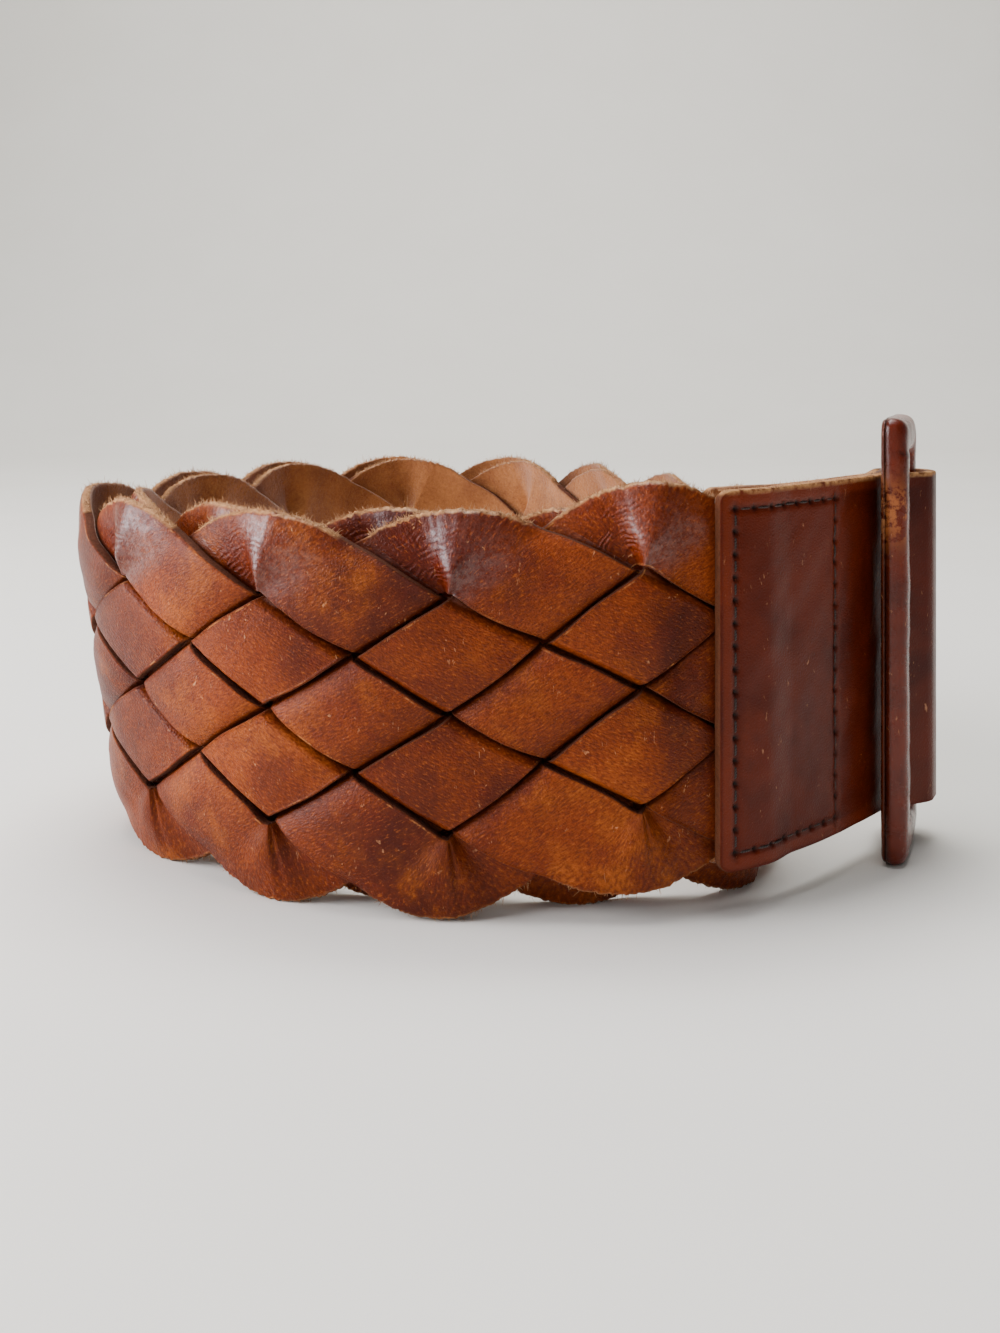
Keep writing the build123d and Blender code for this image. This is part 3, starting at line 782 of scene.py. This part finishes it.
# darker pressed lines as pressed leather, and painted shade in the grooves and holes
base = t.mix(press_and_shade, base, colour(16, 5, 2))
base = t.mix(t.times(grain["Pores"], 0.2), base, colour(46, 14, 6))
base = t.mix(t.times(wear["Worn"], 0.4), base, colour(176, 98, 50))
base = t.mix(t.times(wear["Scratch"], 0.6), base, colour(190, 130, 92))
base, ragged = cut_and_torn(t, where, base, edge, rim, colour(48, 24, 14), colour(104, 58, 34),
                            colour(216, 166, 112), 0.3, 0.6)
t.join(base, shader.inputs["Base Color"])
surface = t.bump(grain["Height"], 0.00012, 0.7)
frayed = t.times(t.noise(where, 1700.0, 4.0, 0.75), ragged)
t.join(t.bump(frayed, 0.0004, 0.8, surface), shader.inputs["Normal"])
rough = t.plus(0.27, t.times(t.noise(where, 220.0, 3.0, 0.6), 0.16))
t.join(t.plus(rough, t.times(ragged, 0.45), clamp=True), shader.inputs["Roughness"])
shader.inputs["Coat Weight"].default_value = 0.03
shader.inputs["Coat Roughness"].default_value = 0.2
shader.inputs["Specular IOR Level"].default_value = 0.12
show(tab_leather)

# %% [markdown]
# The strip is swept along its fold: a leaf, the loop round the bar and the other leaf.  The
# stitch lines are pressed into the surface, with a small hole at each stitch's end, because
# the shadow in a real groove can't be had from a painted line.  The tab's colour still darkens
# the pressed lines, as pressed leather darkens, and paints the holes nearly black as painted
# shade.

# %% The fold's line
def leaf_inside(closed):
    """Distance from the belt's middle surface to a leaf: open over the straps, then closed."""
    return mouth_half + (leaf_gap / 2 - mouth_half) * closed


def mouth(s):
    return leaf_inside(ease((s - sewn_depth - 1) / closing_length))


def tab_line(extra, leaf_s, loop_steps):
    """The fold seen from above, as points (s, n), a distance extra outside its inner face."""
    radius = loop_inner + extra
    near = leaf_gap / 2 + extra
    far = math.hypot(loop_mouth, near)
    lift = math.asin(radius / far) - math.atan2(near, loop_mouth)
    angle = math.pi / 2 + lift - (math.pi + 2 * lift) * np.linspace(0, 1, loop_steps)
    leaf = np.stack([leaf_s, mouth(leaf_s) + extra], -1)
    loop = np.stack([tab_reach + radius * np.cos(angle), radius * np.sin(angle)], -1)
    return np.concatenate([leaf, loop, leaf[::-1] * [1, -1]])


leaf_s = np.concatenate([near_edge, np.arange(2.9, 40.0, 0.45),
                         np.arange(40.5, tab_reach - loop_mouth, 1.0), [tab_reach - loop_mouth]])
inner_line, outer_line = tab_line(0.0, leaf_s, 70), tab_line(leaf_thickness, leaf_s, 70)
print("the strip unfolds to", round(float(np.linalg.norm(
    np.diff((inner_line + outer_line) / 2, axis=0), axis=1).sum())), "mm")

# %% Pressed stitch lines
press_half, hole_half, press_over = 0.75, 0.5, 1.5


def stitch_press(s, v, s_ends, v_ends):
    """How deep a box of stitches lies (1 on its lines), and the holes at the stitches' ends."""
    line, hole = np.zeros_like(s), np.zeros_like(s)
    for across, along, lines, ends in ((v, s, v_ends, s_ends), (s, v, s_ends, v_ends)):
        inside = (along > ends[0] - press_over) & (along < ends[1] + press_over)
        phase = (along - ends[0]) / stitch_pitch
        gap = np.abs(phase - np.round(phase)) * stitch_pitch
        for at in lines:
            line = np.maximum(line, np.exp(-((across - at) / press_half) ** 2) * inside)
            hole = np.maximum(hole, np.exp(-((across - at) / hole_half) ** 2
                                           - (gap / hole_half) ** 2) * inside)
    return line, hole


def leaf_edge(to_edge, grain_columns, grain_side):
    """The edge value of a leaf: 1 on its cut walls, fading over its rounded edges."""
    return np.maximum(cut_walls(to_edge.shape, grain_columns, True),
                      1 - ease(to_edge / np.where(grain_side, 0.8, 0.5)))


stitch_columns, stitch_rows = 7, 15
stitch_start, stitch_end = stitch_margin, stitch_margin + stitch_columns * stitch_pitch
stitch_top = stitch_rows * stitch_pitch / 2
print("the box of stitches is", stitch_columns * stitch_pitch, "by", 2 * stitch_top, "mm")

# %% The folded tab
corner_round = 2.8
rows = len(inner_line)
leaf_row = (np.arange(rows) < len(leaf_s)) | (np.arange(rows) >= rows - len(leaf_s))
front = np.arange(rows) < len(leaf_s)
to_end = np.where(leaf_row, np.minimum(inner_line[:, 0], 90.0), 90.0)
edges_v = np.unique(np.concatenate([near_edge, np.arange(2.8, tab_height - 2.8, 0.45),
                                    tab_height - near_edge]))
flesh_edge = np.array([0.0, 0.25, 0.75, 1.7])
flesh_v = np.concatenate([flesh_edge, np.linspace(4, tab_height - 4, 16),
                          tab_height - flesh_edge[::-1]])
grain_columns = len(edges_v)
v = np.concatenate([edges_v[::-1], flesh_v]) - tab_height / 2
grain_side = (np.arange(len(v)) < grain_columns)[None, :]
corner_cut = corner_round - np.sqrt(np.clip(
    corner_round ** 2 - np.clip(corner_round - to_end, 0, corner_round) ** 2, 0, None))
v = np.broadcast_to(v, (rows, len(v))) * ((tab_height / 2 - corner_cut) / (tab_height / 2))[:, None]
to_edge = np.minimum((tab_height / 2 - corner_cut)[:, None] - np.abs(v), to_end[:, None])
s_here = (inner_line[:, 0] * 0.5 + outer_line[:, 0] * 0.5)[:, None] + 0 * v
pressed, holes = stitch_press(s_here, v, (stitch_start, stitch_end), (-stitch_top, stitch_top))
pressed, holes = pressed * leaf_row[:, None], holes * leaf_row[:, None]
billow = 0.22 * waves(s_here * 0.8 + v * 0.4, 31, 38.0) + 0.15 * waves(v - s_here, 32, 29.0)
billow = billow * ease((to_end / 12.0))[:, None] * leaf_row[:, None]
bent = 0.45 * np.exp(-((s_here - 47.0 - 3.0 * np.sin(v / 14.0 + 0.6)) / 1.3) ** 2) \
    * np.exp(-((v - 14.0) / 13.0) ** 2) * front[:, None]
sink = 0.3 * pressed + 0.7 * holes
outer_f = 1 + (-rounded(to_edge, 0.6, 0.42) - sink + billow + bent) / leaf_thickness
inner_f = rounded(to_edge, 0.4, 0.25) / leaf_thickness
sn = inner_line[:, None, :] + (outer_line - inner_line)[:, None, :] \
    * np.where(grain_side, outer_f, inner_f)[..., None]
tab_middle = half_height + climb
points = place(sn[..., 0], 0.0, sn[..., 1])
points[..., 2] = (tab_middle + v) * 0.001
print("tab grid", v.shape)

# %% The tab's values and mesh
top_edge = np.where(v > 0, 1 - ease((tab_height / 2 - v - 0.3) / 0.9), 0.0)
# where the painted highlight on the raised margin lies
margin_highlight = ease((to_edge - 0.4) / 0.6) * (1 - ease((to_edge - 2.4) / 0.9)) * leaf_row[:, None]
values = {"edge": leaf_edge(to_edge, grain_columns, grain_side), "rim": top_edge,
          # the pressed lines darkened, and the painted shade of the stitch holes
          "press_and_shade": np.clip(0.35 * pressed ** 2 + 1.2 * holes, 0, 1),
          "margin_highlight": margin_highlight * grain_side, "tone": 0 * v}
faces, slots = sheet_faces(rows, v.shape[1], grain_columns, 0)
tab = build("buckle_tab_leather", points, faces, "belt", [tab_leather, flesh_leather], slots,
            values)
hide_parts("buckle_tab")

# %% Hairs on the tab's top edge
tab_hairs = 900
random = np.random.default_rng(21)
s_root = random.uniform(0.5, 62, tab_hairs)
n_root = (mouth(s_root) + leaf_thickness * random.uniform(0.1, 0.9, tab_hairs))
root = np.column_stack([s_root, np.full(tab_hairs, tab_height / 2 - 0.2) +
                        climb * (1 - ease(s_root / climb_length + 1)), n_root])
hairs("tab_fibres", root, np.column_stack([0 * s_root, 0 * s_root + 1, 0 * s_root]), 6, 0.7, 0.055)

# %% [markdown]
# The thread is dark waxed twist.  Each stitch is a short curved tube whose ends dip into the
# holes of its own leaf; the bobbin thread repeats them on the other leaf.  A curve with a
# bevel would do for one, but a grid of tubes makes all of them at once.

# %% Waxed thread
thread_material, t, shader = new_material("waxed thread")
strand = t.node("ShaderNodeTexWave", {"Vector": t.node("ShaderNodeUVMap").outputs[0],
                                      "Scale": 1.0, "Distortion": 0.4},
                bands_direction="DIAGONAL").outputs["Fac"]
base = t.mix(strand, colour(14, 6, 3), colour(48, 22, 12))
base = t.mix(t.span(t.noise(t.object_place(), 500.0, 3.0), 0.5, 0.8, 0.0, 0.4), base,
             colour(84, 42, 22))
t.join(base, shader.inputs["Base Color"])
t.join(t.bump(strand, 0.0001, 0.8), shader.inputs["Normal"])
shader.inputs["Roughness"].default_value = 0.55
show(thread_material)

# %% Stitches
stitch_reach, thread_radius, stitch_seat = 1.95, 0.27, 0.34


def stitches(name, spots, face_height, side, rise):
    """Tubes for stitches at (s, v, upright) on the face at n = side * face_height(s)."""
    steps, around = 9, 8
    k = np.linspace(-1, 1, steps)[:, None]
    turn = np.linspace(0, 2 * math.pi, around, endpoint=False)[None, :]
    radius = thread_radius * np.sqrt(np.clip(1 - (np.abs(k) * 0.93) ** 6, 0.05, 1))
    at_s, at_v, upright = (np.array(spots, float)[:, c][:, None, None] for c in range(3))
    along, across = k * stitch_reach + 0 * turn, radius * np.cos(turn)
    s = at_s + np.where(upright > 0.5, across, along)
    v = at_v + np.where(upright > 0.5, along, across)
    lift = 0.02 - 0.8 * np.abs(k) ** 3 + radius * np.sin(turn) * 0.85
    face_s = at_s + np.where(upright > 0.5, 0.0, k * stitch_reach)
    points = place(s, v, side * (face_height(face_s) - stitch_seat + lift))
    if rise is not None:
        points[..., 2] = (rise + v) * 0.001
    uv = np.stack(np.broadcast_arrays(k * 2.2, turn / 6.28), -1)
    uv = np.broadcast_to(uv, (len(spots),) + uv.shape)
    starts = (np.arange(len(spots)) * steps * around)[:, None, None]
    made = build(name + "_stitches", points,
                 (ring_quads(steps, around)[None] + starts).reshape(-1, 4), "belt",
                 [thread_material], uv=uv)
    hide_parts(name)


def stitch_spots(start, columns, rows, top):
    """Middles of the stitches of a box: two level lines, then two upright ones."""
    spots = [(start + (c + 0.5) * stitch_pitch, v, 0) for c in range(columns)
             for v in (top, -top)]
    return spots + [(s, (r + 0.5) * stitch_pitch - top, 1) for r in range(rows)
                    for s in (start, start + columns * stitch_pitch)]


spots = stitch_spots(stitch_start, stitch_columns, stitch_rows, stitch_top)
for name, side in (("tab_top_thread", 1), ("tab_bobbin_thread", -1)):
    stitches(name, spots, lambda s: mouth(s) + leaf_thickness, side, tab_middle)

# %% [markdown]
# The tail end lies inside the coil and is closed by two leaves with a rounded tip, sewn over
# the strap ends.  They use the tab's leather and stitches, so the belt's ends match.

# %% Tail leaves
tail_columns, tail_rows = 3, 12
tail_top = tail_rows * stitch_pitch / 2
tail_start = tail_edge - stitch_margin - tail_columns * stitch_pitch


def tail_mouth(s):
    return leaf_inside(ease((tail_edge - sewn_depth - 1 - s) / closing_length))


def tail_leaf(name, side):
    """One leaf of the tail, on the outside (side 1) or the inside (-1) of the belt."""
    s = np.unique(np.concatenate([tail_tip + near_edge, np.arange(tail_tip + 2.8, tail_edge - 2.8,
                                                                  0.6), tail_edge - near_edge]))
    round_off = 1 - np.clip(1 - (s - tail_tip) / tip_length, 0, 1) ** 2
    top = (tail_height / 2 * (tip_share + (1 - tip_share) * np.sqrt(round_off)))[:, None]
    grain_part = np.concatenate([near_edge, np.arange(2.8, tail_height - 2.8, 0.6),
                                 tail_height - near_edge[::-1]]) / tail_height
    flesh_part = np.concatenate([[0, 0.25, 0.75], np.linspace(2, tail_height - 2, 14),
                                 tail_height - np.array([0.75, 0.25, 0])]) / tail_height
    share = np.concatenate([grain_part, flesh_part[::-1]])[None, :]
    v = top * (1 - 2 * share)
    grain_side = (np.arange(share.shape[1]) < len(grain_part))[None, :]
    s_grid = s[:, None] + 0 * v
    to_edge = np.minimum(top - np.abs(v), np.minimum(s - tail_tip, tail_edge - s)[:, None])
    pressed, holes = stitch_press(s_grid, v, (tail_start, tail_edge - stitch_margin),
                                  (-tail_top, tail_top))
    outer = tail_mouth(s_grid) + leaf_thickness - rounded(to_edge, 0.95, 0.75) \
        - 0.34 * pressed - 0.5 * holes
    inner = tail_mouth(s_grid) + rounded(to_edge, 0.4, 0.25)
    values = {"edge": leaf_edge(to_edge, len(grain_part), grain_side), "rim": 0 * v,
              "press_and_shade": np.clip(0.35 * pressed ** 2 + 1.2 * holes, 0, 1), "margin_highlight": 0 * v,
              "tone": 0 * v}
    faces, slots = sheet_faces(len(s), share.shape[1], len(grain_part), 0, side)
    made = build(name + "_leather", place(s_grid, v, side * np.where(grain_side, outer, inner)),
                 faces, "belt", [tab_leather, flesh_leather], slots, values)
    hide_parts(name)


spots = stitch_spots(tail_start, tail_columns, tail_rows, tail_top)
for leaf, thread, side in (("tail_tab_outer", "tail_top_thread", 1),
                           ("tail_tab_inner", "tail_bobbin_thread", -1)):
    tail_leaf(leaf, side)
    stitches(thread, spots, lambda s: tail_mouth(s) + leaf_thickness, side, None)

# %% [markdown]
# The buckle is a stiff frame wrapped in leather.  The cover is drawn over the front and sides
# and meets a thin lining behind along a dark seam.  Both need nearly the same leather, so one
# function makes it in two colours.  The core is steel, wholly inside.

# %% Buckle leather
def covered(name, dark, light, worn_colour, amount, coat):
    """Glazed leather over a stiff frame, worn through on its edges and at one spot."""
    material, t, shader = new_material(name)
    where = t.object_place()
    grain = t.group(grain_group, {"Vector": where, "Size": 1.3})
    wear = t.group(wear_group, {"Vector": where, "Edge": t.attribute("edge"), "Amount": amount})
    base = t.mix(t.span(grain["Stain"], 0.3, 0.7), dark, light)
    base = t.mix(t.times(grain["Pores"], 0.4), base, colour(48, 20, 12))
    base = t.mix(t.times(t.attribute("seam"), 0.8), base, colour(34, 16, 10))
    rubbed = t.times(t.attribute("spot"), t.span(t.noise(where, 420.0, 4.0, 0.7), 0.42, 0.56))
    worn = t.math("MAXIMUM", wear["Worn"], rubbed)
    base = t.mix(t.times(worn, 0.7), base, worn_colour)
    base = t.mix(t.times(wear["Scratch"], 0.6), base, colour(196, 134, 92))
    t.join(base, shader.inputs["Base Color"])
    surface = t.bump(grain["Height"], 0.0001, 0.6)
    t.join(t.bump(worn, 0.0001, -0.6, surface), shader.inputs["Normal"])
    rough = t.plus(0.2, t.times(t.noise(where, 260.0, 3.0, 0.6), 0.14))
    t.join(t.plus(rough, t.times(worn, 0.4), clamp=True), shader.inputs["Roughness"])
    shader.inputs["Coat Weight"].default_value = coat
    shader.inputs["Specular IOR Level"].default_value = 0.2
    shader.inputs["Coat Roughness"].default_value = 0.15
    show(material)
    return material


cover_leather = covered("buckle cover leather", colour(68, 15, 2), colour(110, 34, 6),
                        colour(190, 112, 58), 0.42, 0.2)
lining_leather = covered("buckle lining leather", colour(60, 20, 6), colour(96, 38, 14),
                         colour(186, 124, 76), 0.4, 0.0)

# %% Core steel
steel, t, shader = new_material("core steel")
where = t.object_place()
t.join(t.mix(t.noise(where, 300.0), colour(120, 122, 124), colour(150, 150, 150)),
       shader.inputs["Base Color"])
t.join(t.span(t.noise(where, 500.0), 0.3, 0.7, 0.3, 0.5), shader.inputs["Roughness"])
shader.inputs["Metallic"].default_value = 1.0
show(steel)

# %% [markdown]
# At rest the buckle's near corner lies on the tab.  That one contact gives the frame's angle,
# as the real frame finds it by falling back until it touches.

# %% The buckle's place
bar_spacing, buckle_height = 18.8, 97.4
cover_thickness, lining_thickness = 4.4, 1.2
cover_round, rest_gap = 0.9, 0.7
corner_point = np.array([bar_spacing - bar_width / 2 + cover_round,
                         (cover_thickness + lining_thickness) / 2])
rest_height = leaf_gap / 2 + leaf_thickness + rest_gap
buckle_turn = tab_heading + math.pi + math.asin(rest_height / np.linalg.norm(corner_point)) \
    + math.atan2(corner_point[1], corner_point[0])


def frame_point(x, y, z):
    """Buckle coordinates (mm: across from the frame's middle, up, out of its front)."""
    x = np.asarray(x, float) + bar_spacing / 2
    z = np.asarray(z, float) + (lining_thickness - cover_thickness) / 2
    c, s = math.cos(buckle_turn), math.sin(buckle_turn)
    px, py = pivot - origin
    return np.stack([px + x * c - z * s, py + x * s + z * c,
                     buckle_height / 2 - np.asarray(y, float) + 0 * x], -1) * 0.001


print("the frame leans", round(math.degrees(buckle_turn - tab_heading - math.pi), 2), "degrees")

# %% [markdown]
# The cover's section is swept round the frame.  A bevelled curve gives a round tube, but drawn
# leather is flatter, so the section is a superellipse, and the strip's end makes a small step
# where it overlaps its start.

# %% Buckle frame
lap_place, lap_height, spot_place, spot_size = -41.0, 0.22, -28.0, 5.5


def rounded_rectangle(half_x, half_y, radius, corner=10, long=90, short=16):
    """Points round the outline from the middle of its right side."""
    found = []
    for quarter in range(4):
        a, b = ((half_x, half_y), (half_y, half_x))[quarter % 2]
        side = np.linspace(-(b - radius), b - radius, (long, short)[quarter % 2])[:-1]
        turn = np.linspace(0, math.pi / 2, corner)[:-1]
        px = np.concatenate([np.full(len(side), a), a - radius + radius * np.cos(turn)])
        py = np.concatenate([side, b - radius + radius * np.sin(turn)])
        spin = quarter * math.pi / 2
        found.append(np.stack([px * math.cos(spin) - py * math.sin(spin),
                               px * math.sin(spin) + py * math.cos(spin)], -1))
    return np.concatenate(found)


def frame_ring(name, node, inset, height, power, material, seed, back):
    """The cover (front and sides) or the lining (back) swept round the frame."""
    half_x, half_y = (bar_spacing + bar_width) / 2, buckle_height / 2
    outside = rounded_rectangle(half_x - inset, half_y - inset, 3.0)
    inside = rounded_rectangle(half_x - bar_width + inset, half_y - bar_width + inset, 1.2)
    c, s = np.cos(np.linspace(0, math.pi, 25)), np.sin(np.linspace(0, math.pi, 25))
    w = np.concatenate([0.5 - 0.5 * np.sign(c) * np.abs(c) ** (2 / power), [0.85, 0.5, 0.15]])
    z = np.concatenate([height * np.abs(s) ** (2 / power), [0.0, 0.0, 0.0]])[None, :]
    path = np.concatenate([[0], np.cumsum(np.linalg.norm(np.diff(outside, axis=0), axis=1))])
    flat = inside[:, None, :] + (outside - inside)[:, None, :] * w[None, :, None]
    lift = z * (1 + 0.03 * waves(path, seed, 40.0)[:, None]) \
        + 0.05 * waves(path, seed + 1, 9.0)[:, None] * (z > height * 0.6)
    x, y = flat[..., 0], flat[..., 1]
    seam = 1 - ease(z / (0.16 * height)) + 0 * x
    if not back:
        lift = lift + lap_height * (ease((y - lap_place) / 0.5) * (x > 0)) * (z > 0.2 * height)
        seam = np.maximum(seam, 0.8 * np.exp(-((y - lap_place) / 0.35) ** 2) * (x > 0))
    edge = np.clip(1 - np.abs(z / height - 0.75) / 0.25, 0, 1) + 0 * x
    spot = np.exp(-((y - spot_place) / spot_size) ** 2) * (x > 0) * (np.abs(w[None, :] - 0.9) < 0.12)
    quads = ring_quads(len(outside), len(w), wrap=True)
    made = build(name, frame_point(x, y, -0.12 - lift if back else lift),
                 quads[:, ::-1] if back else quads, "buckle", [material],
                 values={"edge": edge, "seam": seam, "spot": spot})
    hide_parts(node)


frame_ring("buckle_cover_leather", "buckle_front_cover", 0.0, cover_thickness, 3.0, cover_leather,
           61, False)
frame_ring("buckle_lining_leather", "buckle_back_lining", 0.4, lining_thickness - 0.12, 3.6,
           lining_leather, 71, True)
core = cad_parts["buckle_core"]
core.data.materials.clear()
core.data.materials.append(steel)

# %% [markdown]
# The belt stands on a pale matt sheet that curves up behind it, so that no horizon shows.
# Dark glossy leather is shaped by what it reflects: one large soft light low on the left draws
# the bright streaks on the folds, and weaker ones from above and in front keep the rest clear.

# %% Floor
floor_material, t, shader = new_material("floor paper")
t.join(t.mix(t.noise(t.object_place(), 9.0, 3.0), colour(222, 218, 210), colour(228, 225, 218)),
       shader.inputs["Base Color"])
shader.inputs["Roughness"].default_value = 0.9
shader.inputs["Specular IOR Level"].default_value = 0.2
bend_start, bend_radius, half_floor = 1.2, 0.8, 5.0
bend = np.linspace(0, math.pi / 2, 24)
profile = np.concatenate([[[-3.0, 0.0]],
                          np.stack([bend_start + bend_radius * np.sin(bend),
                                    bend_radius - bend_radius * np.cos(bend)], -1),
                          [[bend_start + bend_radius, 4.0]]])
points = np.stack([np.stack([np.full(len(profile), x), profile[:, 0], profile[:, 1]], -1)
                   for x in (-half_floor, half_floor)], 1)
floor = build("floor", points, ring_quads(len(profile), 2, closed=False)[:, ::-1], None,
              [floor_material])

# %% Light
world = bpy.data.worlds.new("studio")
bpy.context.scene.world = world
world.use_nodes = True
world.node_tree.nodes["Background"].inputs[0].default_value = colour(214, 218, 226)
world.node_tree.nodes["Background"].inputs[1].default_value = 0.26


def lamp(name, spot, target, size, power, tint):
    """A square soft light in metres and watts, aimed at a target."""
    data = bpy.data.lights.new(name, "AREA")
    data.size, data.energy, data.color = size, power, tint
    made = bpy.data.objects.new(name, data)
    bpy.context.scene.collection.objects.link(made)
    made.location = spot
    aim = np.array(target) - np.array(spot)
    made.rotation_euler = (math.atan2(math.hypot(aim[0], aim[1]), -aim[2]), 0,
                           math.atan2(aim[0], -aim[1]) + math.pi)
    print(name, "light at", spot, "with", power, "W")


lamp("window", (-0.85, -0.22, 0.38), (0, 0, 0.05), 0.7, 21.0, (0.97, 0.95, 1.0))
lamp("overhead", (-0.1, 0.0, 1.0), (0, 0, 0.05), 0.6, 9.0, (0.96, 0.98, 1.0))
lamp("fill", (-0.25, -1.1, 0.6), (0, 0, 0.04), 1.2, 2.2, (1.0, 0.97, 0.93))
lamp("backdrop light", (0, 0.9, 2.2), (0, 2.0, 0.6), 1.5, 60.0, (1.0, 1.0, 0.98))

# %% Camera
camera = bpy.data.objects.new("camera", bpy.data.cameras.new("camera"))
bpy.context.scene.collection.objects.link(camera)
camera.location = (-origin[0] * 0.001, -origin[1] * 0.001, 0.110)
camera.rotation_euler = (math.radians(90), 0, 0)
camera.data.lens, camera.data.sensor_width = 36.3, 36.0
camera.data.shift_y = -0.23
camera.data.clip_start = 0.01
bpy.context.scene.camera = camera
print("camera at", tuple(camera.location))
